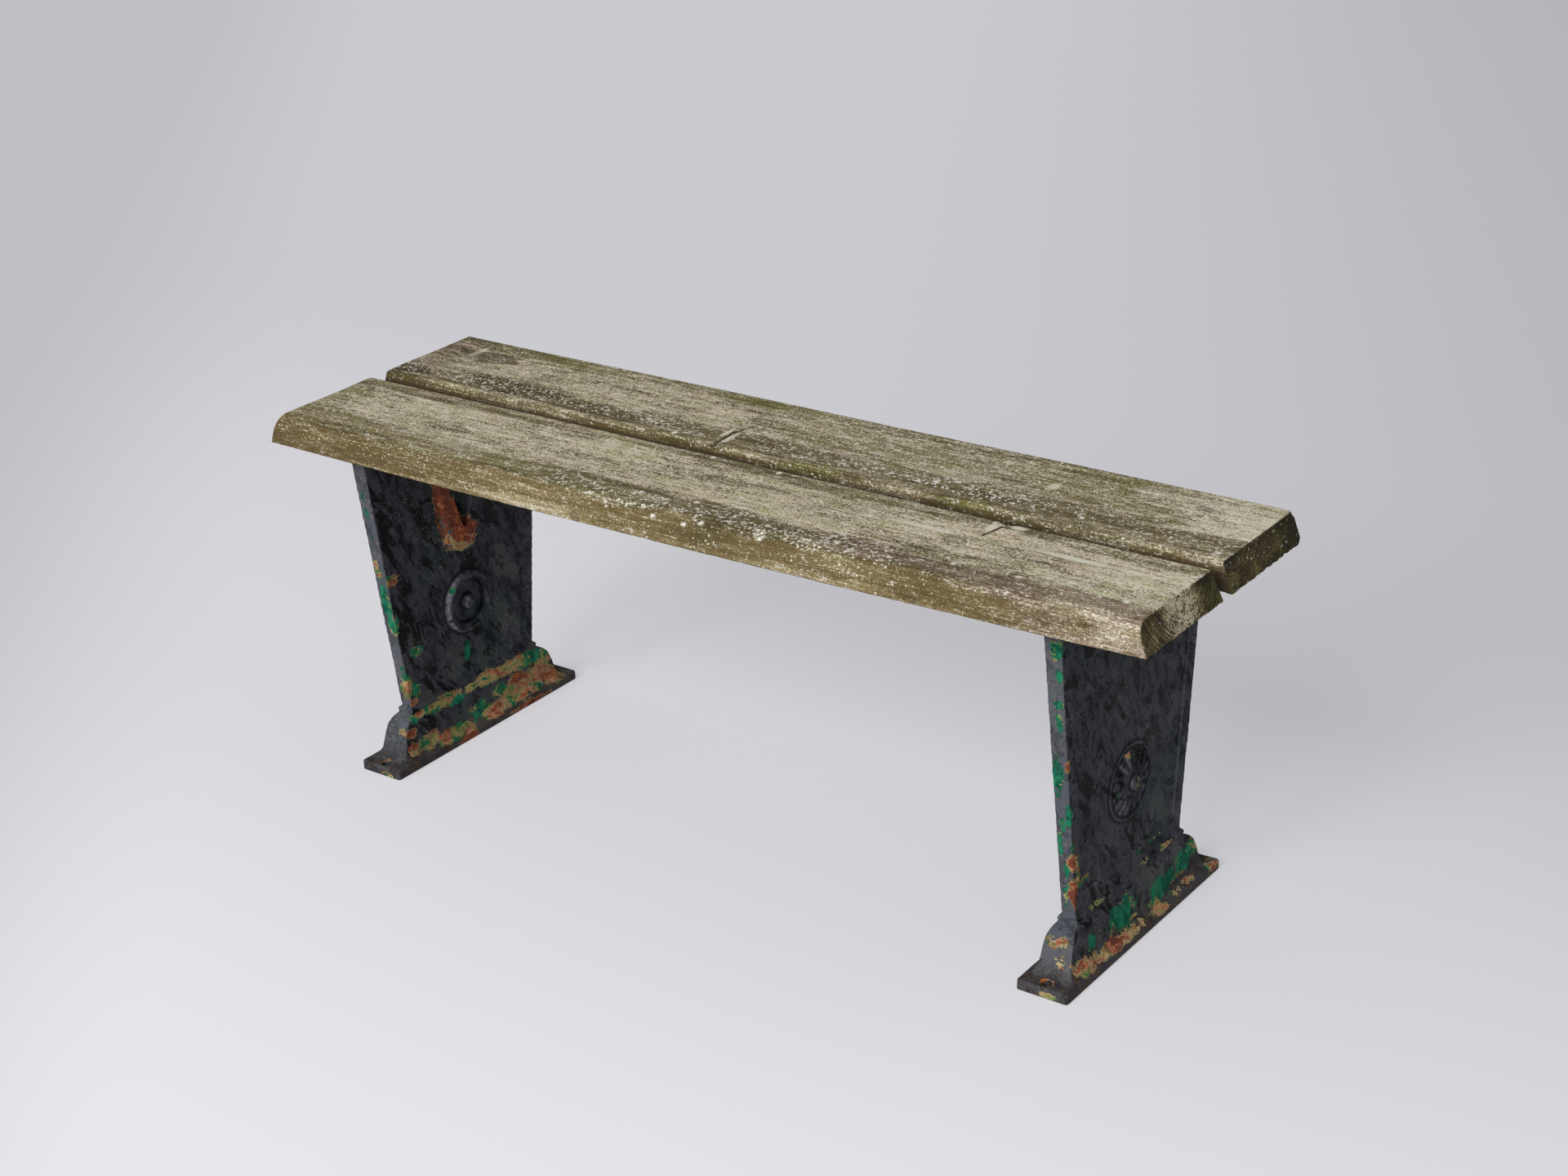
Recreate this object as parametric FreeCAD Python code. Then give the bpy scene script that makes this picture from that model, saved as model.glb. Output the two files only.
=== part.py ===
import FreeCAD, Part
import math
import os

# Bench of two thick planks on a pair of cast iron ends.
# X runs along the bench, -Y is its front, Z is up. The origin is on the ground,
# in the middle of the four holes that bolt the bench down. Lengths are millimetres.

# Seat
seat_height = 450.0
plank_thickness = 34.5
left_overhang = 84.0
right_overhang = 110.0
plank_end_slant = 12.5
front_plank_left_width = 159.0
front_plank_right_width = 150.5
front_plank_bow = 8.0
front_plank_back_slant = 5.0
front_nose_radius = 20.0
rear_plank_width = 150.0
gap_setback = 31.5
gap_at_left = 25.0
gap_at_right = 21.5
plank_edge_radius = 4.0

# Base plate of a casting
support_spacing = 918.0
plate_length = 330.0
plate_width = 62.0
plate_thickness = 12.0
plate_corner_radius = 4.0
plate_edge_radius = 1.5
floor_hole_spacing = 308.0
floor_hole_diameter = 11.0

# Moulded foot of a casting: a hollow flare, a steep face, a round shoulder and a bead
flare_height = 15.0
face_height = 18.0
shoulder_height = 16.0
bead_height = 7.4
end_toe = 149.5
end_waist = 138.0
end_shoulder = 132.5
end_neck = 113.0
end_hollow = 2.2
end_swell = 3.2
side_toe = 29.0
side_waist = 19.0
side_shoulder = 17.4
side_neck = 11.6
side_hollow = 3.0
side_swell = 1.5

# Upright of a casting
pier_foot_width = 223.0
pier_top_width = 302.5
pier_foot_thickness = 17.0
pier_top_thickness = 20.0
pier_lean = 1.8

# Sunk panel on the outer face, with a fine raised line around it
panel_side_margin = 18.0
panel_end_margin = 24.0
panel_depth = 2.2
line_margin = 9.0
line_width = 1.8
line_relief = 0.8

# Fluted rosette in the panel
rosette_height = 176.0
rosette_radius = 44.0
rosette_rim_width = 4.0
rosette_groove_width = 2.5
rosette_rim_relief = 2.0
petal_count = 16
petal_tip_relief = 1.6
petal_root_relief = 4.6
petal_swell = 1.4
flute_root_radius = 0.7
flute_tip_radius = 3.4
rosette_boss_radius = 9.0
rosette_boss_relief = 9.0
relief_root = 1.5

# Plain ring and boss on the inner face
ring_height = 168.0
ring_radius = 40.0
ring_width = 13.0
ring_relief = 7.0
dish_depth = 1.5
ring_boss_radius = 9.5
ring_boss_relief = 10.0

# Seat flange at the top of the inner face
flange_length = 292.0
flange_width = 50.0
flange_thickness = 10.0
flange_cove_radius = 8.0
flange_corner_radius = 10.0
flange_hole_diameter = 11.0
inner_hole_setback = 80.0
outer_hole_setback = 124.0
hole_reach = 28.0

# Forked bracket under the flange
bracket_top_half_width = 56.0
bracket_nose_radius = 28.0
bracket_nose_drop = 151.5
bracket_rib_width = 11.0
pocket_nose_half_width = 3.0
pocket_drop = 147.0
bracket_top_reach = 40.0
bracket_reach = 10.0
bracket_curve_height = 70.0
bracket_curve_hollow = 9.0

# Coach screws and washers that hold the planks from below
screw_diameter = 9.5
screw_length = 38.0
screw_point_length = 8.0
head_across_flats = 14.3
head_height = 6.4
washer_diameter = 25.0
washer_hole_diameter = 10.5
washer_thickness = 2.0
pilot_clearance = 0.1
pilot_end_clearance = 1.0

overrun = 5.0

# Heights and places that follow
seat_underside = seat_height - plank_thickness
flare_top = plate_thickness + flare_height
shoulder_base = flare_top + face_height
neck_level = shoulder_base + shoulder_height
bead_top = neck_level + bead_height
flange_underside = seat_underside - flange_thickness
head_top = flange_underside - washer_thickness
half_spacing = support_spacing / 2
plank_left = -half_spacing - left_overhang
plank_right = half_spacing + right_overhang
bottom_left = plank_left - plank_end_slant
bottom_right = plank_right + plank_end_slant
hole_places = (-outer_hole_setback, -inner_hole_setback, inner_hole_setback, outer_hole_setback)

centre = FreeCAD.Vector(0, 0, 0)
upwards = FreeCAD.Vector(0, 0, 1)


def across(y, z):
    """A point in the upright plane across the bench."""
    return FreeCAD.Vector(0, y, z)


def along(x, z):
    """A point in the upright plane along the bench."""
    return FreeCAD.Vector(x, 0, z)


def flat(x, y):
    """A point in the level plane."""
    return FreeCAD.Vector(x, y, 0)


def between(start, end, swell):
    """Middle of an arc that stands off its chord to the right of the way from start to end."""
    run = end[0] - start[0]
    rise = end[1] - start[1]
    chord = math.hypot(run, rise)
    middle_0 = (start[0] + end[0]) / 2 + swell * rise / chord
    middle_1 = (start[1] + end[1]) / 2 - swell * run / chord
    return middle_0, middle_1


def outline_face(corners, place):
    """A face from (corner, middle of the arc that leads to it) pairs, None for a straight line."""
    edges = []
    last = corners[-1][0]
    for corner, middle in corners:
        if middle:
            edge = Part.Arc(place(*last), place(*middle), place(*corner))
        else:
            edge = Part.LineSegment(place(*last), place(*corner))
        edges.append(edge.toShape())
        last = corner
    return Part.Face(Part.Wire(edges))


def mirrored(corners):
    """Both sides of an outline given from its base to its top on the positive side."""
    ends = [corner for corner, middle in corners]
    arcs = [middle for corner, middle in corners]
    other = []
    for corner, middle in zip(reversed(ends), [None] + arcs[:0:-1]):
        flipped = (-middle[0], middle[1]) if middle else None
        other.append(((-corner[0], corner[1]), flipped))
    return corners + other


def prism(face, reach):
    """A face thickened by reach both ways along its normal axis."""
    normal = face.normalAt(0, 0)
    solid = face.extrude(normal * (2 * reach))
    solid.translate(normal * -reach)
    return solid


def straight(points):
    """Corners of an outline with straight sides only."""
    return [(point, None) for point in points]


def moulded_foot():
    """The foot: one ogee outline seen from the end and one from the side, which meet in mitres."""
    def half_outline(toe, waist, shoulder, neck, root, hollow, swell):
        bead_middle = (root + bead_height / 2, neck_level + bead_height / 2)
        return [
            ((toe, 0), None),
            ((toe, plate_thickness), None),
            ((waist, flare_top), between((toe, plate_thickness), (waist, flare_top), -hollow)),
            ((shoulder, shoulder_base), None),
            ((neck, neck_level), between((shoulder, shoulder_base), (neck, neck_level), swell)),
            ((root, neck_level), None),
            ((root, bead_top), bead_middle),
        ]

    end = half_outline(end_toe, end_waist, end_shoulder, end_neck, pier_foot_width / 2,
                       end_hollow, end_swell)
    side = half_outline(side_toe, side_waist, side_shoulder, side_neck, pier_foot_thickness / 2,
                        side_hollow, side_swell)
    from_end = prism(outline_face(mirrored(end), across), plate_width)
    from_side = prism(outline_face(mirrored(side), along), plate_length)
    return from_end.common(from_side)


def base_plate():
    """The plate that stands on the ground, with round corners and a bolt hole at each end."""
    plate = Part.makeBox(plate_width, plate_length, plate_thickness,
                         flat(-plate_width / 2, -plate_length / 2))
    uprights = [edge for edge in plate.Edges if edge.BoundBox.ZLength > plate_thickness / 2]
    plate = plate.makeFillet(plate_corner_radius, uprights)
    rim = [edge for edge in plate.Edges if edge.BoundBox.ZMin > plate_thickness / 2]
    return plate.makeFillet(plate_edge_radius, rim)


def floor_holes():
    """Cutters for the two bolt holes of a base plate."""
    depth = plate_thickness + flare_height + overrun
    cutters = []
    for side in (-1, 1):
        place = FreeCAD.Vector(0, side * floor_hole_spacing / 2, -overrun)
        cutters.append(Part.makeCylinder(floor_hole_diameter / 2, depth + overrun, place))
    return Part.makeCompound(cutters)


def pier_share(level):
    """How far up the upright a level is, from 0 at the bead to 1 at the seat."""
    return (level - bead_top) / (seat_underside - bead_top)


def pier_half_width(level):
    foot = pier_foot_width / 2
    return foot + (pier_top_width / 2 - foot) * pier_share(level)


def pier_half_thickness(level):
    foot = pier_foot_thickness / 2
    return foot + (pier_top_thickness / 2 - foot) * pier_share(level)


def inner_face(level):
    """X of the face towards the other casting. The upright leans away from it a little."""
    return pier_half_thickness(level) - pier_lean * pier_share(level)


def outer_face(level):
    """X of the face with the panel, which is the -X one on this casting."""
    return -pier_half_thickness(level) - pier_lean * pier_share(level)


def pier():
    """The upright: wider and a little thicker at the seat than at the foot."""
    levels = (neck_level, seat_underside)
    front = mirrored(straight([(pier_half_width(level), level) for level in levels]))
    side = [(inner_face(level), level) for level in levels]
    side += [(outer_face(level), level) for level in reversed(levels)]
    from_end = prism(outline_face(front, across), plate_width)
    return from_end.common(prism(outline_face(straight(side), along), plate_length))


def pier_band(side_margin, end_margin):
    """A prism of the upright's outline, set in from its edges."""
    low = bead_top + end_margin
    high = seat_underside - end_margin
    corners = [(pier_half_width(low) - side_margin, low), (pier_half_width(high) - side_margin, high)]
    return prism(outline_face(mirrored(straight(corners)), across), plate_width)


def outer_skin(inside, outside):
    """The layer from one depth inside the outer face to one height outside it."""
    points = [
        (outer_face(bead_top) + inside, bead_top),
        (outer_face(seat_underside) + inside, seat_underside),
        (outer_face(seat_underside) - outside, seat_underside),
        (outer_face(bead_top) - outside, bead_top),
    ]
    return prism(outline_face(straight(points), along), plate_length)


def panel_recess():
    sunk = pier_band(panel_side_margin, panel_end_margin)
    return sunk.common(outer_skin(panel_depth, overrun))


def panel_line():
    """The fine raised line that runs around the panel."""
    end_margin = panel_end_margin - panel_side_margin + line_margin
    band = pier_band(line_margin, end_margin)
    hollow = pier_band(line_margin + line_width, end_margin + line_width)
    return band.cut(hollow).common(outer_skin(line_relief, line_relief))


def cap_middle(edge, top):
    """Middle of the arc that rises from edge to the axis at top and makes the cap of a ball."""
    rise = top - edge[1]
    ball_radius = (edge[0] ** 2 + rise ** 2) / (2 * rise)
    half_turn = math.atan2(edge[0], ball_radius - rise) / 2
    return ball_radius * math.sin(half_turn), top - ball_radius * (1 - math.cos(half_turn))


def turned(corners):
    """A round boss that stands on the level plane, revolved from (radius, height) corners."""
    face = outline_face(corners, along)
    return face.revolve(centre, upwards, 360)


def laid_on_face(boss, direction, place):
    """Turn a boss to look along X, forwards for 1 and backwards for -1, and put it in its place."""
    boss.rotate(centre, FreeCAD.Vector(0, 1, 0), 90 * direction)
    boss.translate(place)
    return boss


def flutes(petal_radius):
    """Cutters for the hollows between petals: cones that widen towards the rim."""
    start = rosette_boss_radius
    length = petal_radius - start + rosette_groove_width / 2
    fall = math.degrees(math.atan2(petal_root_relief - petal_tip_relief, petal_radius - start))
    cutters = []
    for index in range(petal_count):
        cone = Part.makeCone(flute_root_radius, flute_tip_radius, length)
        cone.rotate(centre, FreeCAD.Vector(0, 1, 0), 90 + fall)
        cone.translate(along(start, petal_root_relief + petal_swell / 2))
        cone.rotate(centre, upwards, 360 * index / petal_count)
        cutters.append(cone)
    return Part.makeCompound(cutters)


def rosette():
    """A fluted rosette: thin rim, ring of petals that rise to the middle, and a domed boss."""
    rim_inside = rosette_radius - rosette_rim_width
    petal_radius = rim_inside - rosette_groove_width
    rim_middle = (rosette_radius - rosette_rim_width / 2, rosette_rim_relief)
    tip = (petal_radius, petal_tip_relief)
    root = (rosette_boss_radius, petal_root_relief)
    corners = [
        ((0, -relief_root), None),
        ((rosette_radius, -relief_root), None),
        ((rosette_radius, 0), None),
        ((rim_inside, 0), rim_middle),
        ((petal_radius, 0), None),
        (tip, None),
        (root, between(tip, root, petal_swell)),
        ((0, rosette_boss_relief), cap_middle(root, rosette_boss_relief)),
    ]
    carved = turned(corners).cut(flutes(petal_radius))
    return laid_on_face(carved, -1, along(outer_face(rosette_height) + panel_depth, rosette_height))


def ring_dish():
    """Cutter for the shallow dish inside the ring."""
    reach = ring_radius - ring_width
    ball_radius = (reach * reach + dish_depth * dish_depth) / (2 * dish_depth)
    ball_place = inner_face(ring_height) + ball_radius - dish_depth
    return Part.makeSphere(ball_radius, along(ball_place, ring_height))


def ring():
    """The plain raised ring of the inner face and the boss in its middle."""
    inside = ring_radius - ring_width
    middle = (ring_radius - ring_width / 2, ring_relief)
    place = along(inner_face(ring_height), ring_height)
    band = [
        ((inside, -relief_root), None),
        ((ring_radius, -relief_root), None),
        ((ring_radius, 0), None),
        ((inside, 0), middle),
    ]
    side = (ring_boss_radius, ring_boss_relief / 2)
    boss = [
        ((0, -relief_root - dish_depth), None),
        ((ring_boss_radius, -relief_root - dish_depth), None),
        (side, None),
        ((0, ring_boss_relief), cap_middle(side, ring_boss_relief)),
    ]
    return laid_on_face(turned(band).fuse(turned(boss)), 1, place)


def seat_flange():
    """The level flange that carries the planks, with a cove under it and four screw holes."""
    face = inner_face(flange_underside - flange_cove_radius)
    end = inner_face(seat_underside) + flange_width
    cove_start = (face, flange_underside - flange_cove_radius)
    cove_end = (face + flange_cove_radius, flange_underside)
    cove_swell = flange_cove_radius * (1 - math.sqrt(0.5))
    corners = [
        ((0, seat_underside), None),
        ((0, cove_start[1]), None),
        (cove_start, None),
        (cove_end, between(cove_start, cove_end, -cove_swell)),
        ((end, flange_underside), None),
        ((end, seat_underside), None),
    ]
    flange = prism(outline_face(corners, along), flange_length / 2)
    tips = [edge for edge in flange.Edges
            if edge.BoundBox.XMin > end - flange_cove_radius / 2
            and edge.BoundBox.ZLength > flange_thickness / 2]
    flange = flange.makeFillet(flange_corner_radius, tips)
    for place in hole_places:
        spot = FreeCAD.Vector(hole_line(), place, flange_underside - overrun)
        depth = flange_thickness + 2 * overrun
        flange = flange.cut(Part.makeCylinder(flange_hole_diameter / 2, depth, spot))
    return flange


def hole_line():
    """How far the row of screw holes is from the middle of the upright."""
    return inner_face(seat_underside) + hole_reach


def forked_bracket():
    """The bracket under the flange: two ribs that run down to one round nose."""
    nose_level = seat_underside - bracket_nose_drop
    top = (bracket_top_half_width, flange_underside)
    rise = top[1] - nose_level
    reach = math.hypot(top[0], rise)
    lean = math.atan2(rise, top[0]) - math.acos(bracket_nose_radius / reach)
    touch = (bracket_nose_radius * math.cos(lean), nose_level + bracket_nose_radius * math.sin(lean))
    nose = (0, nose_level - bracket_nose_radius)
    corners = [
        (top, None),
        ((-top[0], top[1]), None),
        ((-touch[0], touch[1]), None),
        (touch, nose),
    ]
    from_end = prism(outline_face(corners, across), plate_width)
    face = inner_face(nose_level)
    curve_top = (face + bracket_top_reach, flange_underside)
    curve_foot = (face + bracket_reach, flange_underside - bracket_curve_height)
    depth = [
        ((0, nose[1] - overrun), None),
        ((face + bracket_reach, nose[1] - overrun), None),
        (curve_foot, None),
        (curve_top, between(curve_foot, curve_top, -bracket_curve_hollow)),
        ((0, flange_underside), None),
    ]
    from_side = prism(outline_face(depth, along), pier_top_width)
    inner_half_width = bracket_top_half_width - bracket_rib_width
    pocket_level = seat_underside - pocket_drop
    pocket = [(pocket_nose_half_width, pocket_level), (inner_half_width, flange_underside)]
    hollow = prism(outline_face(mirrored(straight(pocket)), across), plate_width)
    return from_end.common(from_side).cut(hollow)


def casting():
    """One cast iron end, with its inner face towards +X."""
    body = pier().cut(panel_recess()).cut(ring_dish())
    body = body.fuse([panel_line(), rosette(), ring(), seat_flange(), forked_bracket()])
    body = body.fuse([moulded_foot(), base_plate()]).cut(floor_holes())
    return body.removeSplitter()


def screw_place(side, place):
    """Where a screw stands on the level plane. Side is -1 for the left end, 1 for the right."""
    return flat(side * (half_spacing - hole_line()), place)


def coach_screw(spot):
    """A hexagon headed wood screw with a plain shank and a point."""
    radius = screw_diameter / 2
    shank = screw_length - screw_point_length
    corner_radius = head_across_flats / 2 / math.cos(math.pi / 6)
    corners = []
    for index in range(6):
        angle = math.pi / 3 * index
        corners.append((corner_radius * math.cos(angle), corner_radius * math.sin(angle)))
    head = outline_face(straight(corners), flat).extrude(along(0, -head_height))
    body = Part.makeCylinder(radius, shank)
    point = Part.makeCone(radius, 0, screw_point_length, along(0, shank))
    screw = head.fuse([body, point]).removeSplitter()
    screw.translate(spot + along(0, head_top))
    return screw


def washer(spot):
    disc = Part.makeCylinder(washer_diameter / 2, washer_thickness)
    ring_of_steel = disc.cut(Part.makeCylinder(washer_hole_diameter / 2, washer_thickness))
    ring_of_steel.translate(spot + along(0, head_top))
    return ring_of_steel


def pilot_holes():
    """Cutters for the holes that the screws are driven into."""
    top = head_top + screw_length + pilot_end_clearance
    radius = screw_diameter / 2 + pilot_clearance
    cutters = []
    for side in (-1, 1):
        for place in hole_places:
            spot = screw_place(side, place) + along(0, seat_underside - overrun)
            cutters.append(Part.makeCylinder(radius, top - seat_underside + overrun, spot))
    return Part.makeCompound(cutters)


def plank_section(front, back, back_slant, front_radius, back_radius, section_x):
    """A plank's outline cut square across, with eased top corners. It overruns top and bottom."""
    def corner(y, z):
        return FreeCAD.Vector(section_x, y, z)

    top = seat_height + overrun
    base = seat_underside - overrun
    back_edge = seat_height - back_radius
    back_foot = back + back_slant * (back_edge - base) / (back_edge - seat_underside)
    nose = front_radius * (1 - math.sqrt(0.5))
    ease = back_radius * (1 - math.sqrt(0.5))
    corners = [
        ((front, base), None),
        ((front, seat_height - front_radius), None),
        ((front + front_radius, seat_height), (front + nose, seat_height - nose)),
        ((front + front_radius, top), None),
        ((back - back_radius, top), None),
        ((back - back_radius, seat_height), None),
        ((back, back_edge), (back - ease, seat_height - ease)),
        ((back_foot, base), None),
    ]
    return outline_face(corners, corner).OuterWire


def plank(fronts, backs, back_slant, front_radius, back_radius):
    """A plank lofted from left to right through its sections, with slanted ends and pilot holes."""
    sections = []
    for index, (front, back) in enumerate(zip(fronts, backs)):
        place = bottom_left + (bottom_right - bottom_left) * index / (len(fronts) - 1)
        sections.append(plank_section(front, back, back_slant, front_radius, back_radius, place))
    slab = Part.makeLoft(sections, True, len(sections) == 2)
    length_outline = straight([
        (bottom_left, seat_underside),
        (bottom_right, seat_underside),
        (plank_right, seat_height),
        (plank_left, seat_height),
    ])
    slanted = prism(outline_face(length_outline, along), plate_length)
    return slab.common(slanted).cut(pilot_holes())


def front_plank():
    """The front plank: its front side bows out a little and its top corner is worn round."""
    left = -gap_setback - front_plank_left_width
    right = -gap_setback - front_plank_right_width
    middle = (left + right) / 2 - front_plank_bow
    backs = (-gap_setback, -gap_setback, -gap_setback)
    return plank((left, middle, right), backs, front_plank_back_slant, front_nose_radius,
                 plank_edge_radius)


def rear_plank():
    """The rear plank: of even width, laid a little out of line with the front one."""
    fronts = (gap_at_left - gap_setback, gap_at_right - gap_setback)
    backs = [front + rear_plank_width for front in fronts]
    return plank(fronts, backs, 0, plank_edge_radius, plank_edge_radius)


def bench():
    """Every piece of the bench by its name."""
    pieces = {"front_plank": front_plank(), "rear_plank": rear_plank()}
    left = casting()
    right = left.copy()
    left.translate(flat(-half_spacing, 0))
    right.rotate(centre, upwards, 180)
    right.translate(flat(half_spacing, 0))
    pieces["left_support"] = left
    pieces["right_support"] = right
    rows = ("front_outer", "front_inner", "rear_inner", "rear_outer")
    for side, side_name in ((-1, "left"), (1, "right")):
        for place, row in zip(hole_places, rows):
            spot = screw_place(side, place)
            pieces[f"coach_screw_{side_name}_{row}"] = coach_screw(spot)
            pieces[f"washer_{side_name}_{row}"] = washer(spot)
    return pieces


os.makedirs("parts", exist_ok=True)
for name, shape in bench().items():
    shape.exportStep(f"parts/{name}.step")
    box = shape.BoundBox
    print(name, len(shape.Solids), shape.isValid(), round(shape.Volume),
          [round(v, 2) for v in (box.XMin, box.XMax, box.YMin, box.YMax, box.ZMin, box.ZMax)])
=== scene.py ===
import math

import bmesh
import bpy
from mathutils import Matrix, Vector, noise


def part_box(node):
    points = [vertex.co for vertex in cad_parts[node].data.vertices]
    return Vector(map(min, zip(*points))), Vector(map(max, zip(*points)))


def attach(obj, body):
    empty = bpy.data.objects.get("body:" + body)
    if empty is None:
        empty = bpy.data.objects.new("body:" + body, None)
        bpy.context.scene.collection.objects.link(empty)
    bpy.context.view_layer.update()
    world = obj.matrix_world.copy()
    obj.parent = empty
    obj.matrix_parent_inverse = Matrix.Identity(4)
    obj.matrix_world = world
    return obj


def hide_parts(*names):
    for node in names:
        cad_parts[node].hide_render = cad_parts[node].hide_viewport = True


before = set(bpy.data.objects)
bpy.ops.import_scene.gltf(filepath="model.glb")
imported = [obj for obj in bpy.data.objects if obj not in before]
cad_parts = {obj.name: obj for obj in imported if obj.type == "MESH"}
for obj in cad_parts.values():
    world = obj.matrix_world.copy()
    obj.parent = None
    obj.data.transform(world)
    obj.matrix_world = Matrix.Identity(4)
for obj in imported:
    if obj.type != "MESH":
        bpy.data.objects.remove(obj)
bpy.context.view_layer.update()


# Camera
# The photograph's own camera, found from the corners of the bench. It stands in front
# of the right end and looks down on the seat.

camera_place = Vector((1.6657, -2.1976, 1.5037))
camera_yaw = math.radians(36.64)
camera_pitch = math.radians(23.82)
camera_roll = math.radians(-2.27)
photo_width_px = 1920
focal_length_px = 3324.1
sensor_width_mm = 36

camera_data = bpy.data.cameras.new("camera")
camera_data.sensor_width = sensor_width_mm
camera_data.lens = sensor_width_mm * focal_length_px / photo_width_px
camera_data.clip_end = 50
camera = bpy.data.objects.new("camera", camera_data)
camera.matrix_world = (Matrix.Translation(camera_place)
                       @ Matrix.Rotation(camera_yaw, 4, "Z")
                       @ Matrix.Rotation(math.pi / 2 - camera_pitch, 4, "X")
                       @ Matrix.Rotation(camera_roll, 4, "Z"))
bpy.context.collection.objects.link(camera)
bpy.context.scene.camera = camera
bpy.context.scene.view_settings.view_transform = "Standard"


# Studio floor and light
# A pale paper floor without a seam, its tone painted darker away from the front and towards the
# left and right as painted shade, a wide soft light from the front, a weaker one from
# the left, and the pale room as fill.

class Layer:
    """A value, colour or vector in a material. Sums written on it add the nodes that work
    them out."""

    def __init__(self, tree, socket):
        self.tree = tree
        self.socket = socket

    def node(self, kind, settings, inputs, output=0):
        """A new node with its settings and the values or links of its inputs."""
        made = self.tree.nodes.new(kind)
        for name, value in settings.items():
            if name == "stops":
                ramp = made.color_ramp
                ramp.elements.remove(ramp.elements[1])
                ramp.elements[0].position, ramp.elements[0].color = value[0]
                for place, tone in value[1:]:
                    ramp.elements.new(place).color = tone
            else:
                setattr(made, name, value)
        for name, value in inputs.items():
            if isinstance(value, Layer):
                self.tree.links.new(value.socket, made.inputs[name])
            else:
                made.inputs[name].default_value = value
        return Layer(self.tree, made.outputs[output])

    def maths(self, operation, first, second):
        return self.node("ShaderNodeMath", {"operation": operation}, {0: first, 1: second})

    def __add__(self, other):
        return self.maths("ADD", self, other)

    def __radd__(self, other):
        return self.maths("ADD", other, self)

    def __sub__(self, other):
        return self.maths("SUBTRACT", self, other)

    def __rsub__(self, other):
        return self.maths("SUBTRACT", other, self)

    def __mul__(self, other):
        return self.maths("MULTIPLY", self, other)

    def __rmul__(self, other):
        return self.maths("MULTIPLY", other, self)

    def size(self):
        return self.node("ShaderNodeMath", {"operation": "ABSOLUTE"}, {0: self})

    def larger(self, other):
        return self.maths("MAXIMUM", self, other)

    def rise(self, low, high):
        """0 below low, 1 above high, and a smooth way between."""
        return self.node("ShaderNodeMapRange", {"interpolation_type": "SMOOTHSTEP"},
                         {0: self, 1: low, 2: high})

    def mix(self, under, over):
        """The colour under where this is 0, and over where it is 1."""
        return self.node("ShaderNodeMix", {"data_type": "RGBA"}, {0: self, 6: under, 7: over}, 2)

    def ramp(self, stops):
        """This value read off a row of (place, colour) stops."""
        return self.node("ShaderNodeValToRGB", {"stops": stops}, {"Fac": self})

    def vector(self, operation, other, output=0):
        return self.node("ShaderNodeVectorMath", {"operation": operation}, {0: self, 1: other},
                         output)

    def stretched(self, scale):
        """These coordinates times a scale for each axis."""
        return self.vector("MULTIPLY", scale)

    def shaken(self, scale, reach):
        """These coordinates moved about by noise, by up to half of reach."""
        settings = {"Scale": scale, "Detail": 2.0, "Vector": self}
        shift = self.node("ShaderNodeTexNoise", {}, settings, 1)
        shift = shift.vector("SUBTRACT", (0.5, 0.5, 0.5)).vector("MULTIPLY", (reach, reach, reach))
        return self.vector("ADD", shift)

    def cloud(self, scale, detail=3.0, roughness=0.5, distortion=0.0):
        """Soft noise about 0.5 on these coordinates."""
        settings = {"Scale": scale, "Detail": detail, "Roughness": roughness,
                    "Distortion": distortion, "Vector": self}
        return self.node("ShaderNodeTexNoise", {}, settings)

    def cells(self, scale):
        """How far each place is from the nearest of many scattered points, and a number from
        0 to 1 that belongs to that point."""
        near = self.node("ShaderNodeTexVoronoi", {}, {"Scale": scale, "Vector": self})
        return near, near.beside("Color").axis(0)

    def beside(self, name):
        """Another output of the same node."""
        return Layer(self.tree, self.socket.node.outputs[name])

    def axis(self, index):
        return self.node("ShaderNodeSeparateXYZ", {}, {0: self}, index)


def colour(red, green, blue):
    """A colour given as it looks on a screen, from 0 to 255 each."""
    shares = [level / 255 for level in (red, green, blue)]
    linear = [share / 12.92 if share <= 0.04045 else ((share + 0.055) / 1.055) ** 2.4
              for share in shares]
    return (*linear, 1.0)


def new_material(name):
    """An empty material. Returns it, its coordinates on the object and its surface normals."""
    material = bpy.data.materials.new(name)
    material.use_nodes = True
    tree = material.node_tree
    tree.nodes.clear()
    coordinates = tree.nodes.new("ShaderNodeTexCoord")
    return (material, Layer(tree, coordinates.outputs["Object"]),
            Layer(tree, coordinates.outputs["Normal"]))


def finish_material(paint, rough, height, relief, gloss=0.5):
    """Close a material off: its colour, its roughness, and bumps of up to relief metres."""
    bumps = paint.node("ShaderNodeBump", {},
                       {"Height": height, "Distance": relief, "Strength": 1.0})
    shader = paint.node("ShaderNodeBsdfPrincipled", {},
                        {"Base Color": paint, "Roughness": rough, "Normal": bumps,
                         "Specular IOR Level": gloss})
    outlet = paint.tree.nodes.new("ShaderNodeOutputMaterial")
    paint.tree.links.new(shader.socket, outlet.inputs["Surface"])


def add_object(name, mesh):
    made = bpy.data.objects.new(name, mesh)
    bpy.context.collection.objects.link(made)
    return made


def soft_light(name, toward, strength, width_degrees):
    """A large soft box far away. Toward is the way its light goes."""
    lamp = bpy.data.lights.new(name, "SUN")
    lamp.energy = strength
    lamp.angle = math.radians(width_degrees)
    made = bpy.data.objects.new(name, lamp)
    made.matrix_world = Vector(toward).to_track_quat("-Z", "Y").to_matrix().to_4x4()
    bpy.context.collection.objects.link(made)


floor_half_width = 12.0
floor_near = colour(238, 237, 240)
floor_middle = colour(220, 219, 223)
floor_far = colour(206, 205, 210)
floor_left_shade = colour(194, 193, 198)
floor_right_shade = colour(184, 183, 188)
floor_glow_share = 0.58
room_tone = colour(232, 232, 238)
room_strength = 0.40

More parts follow.
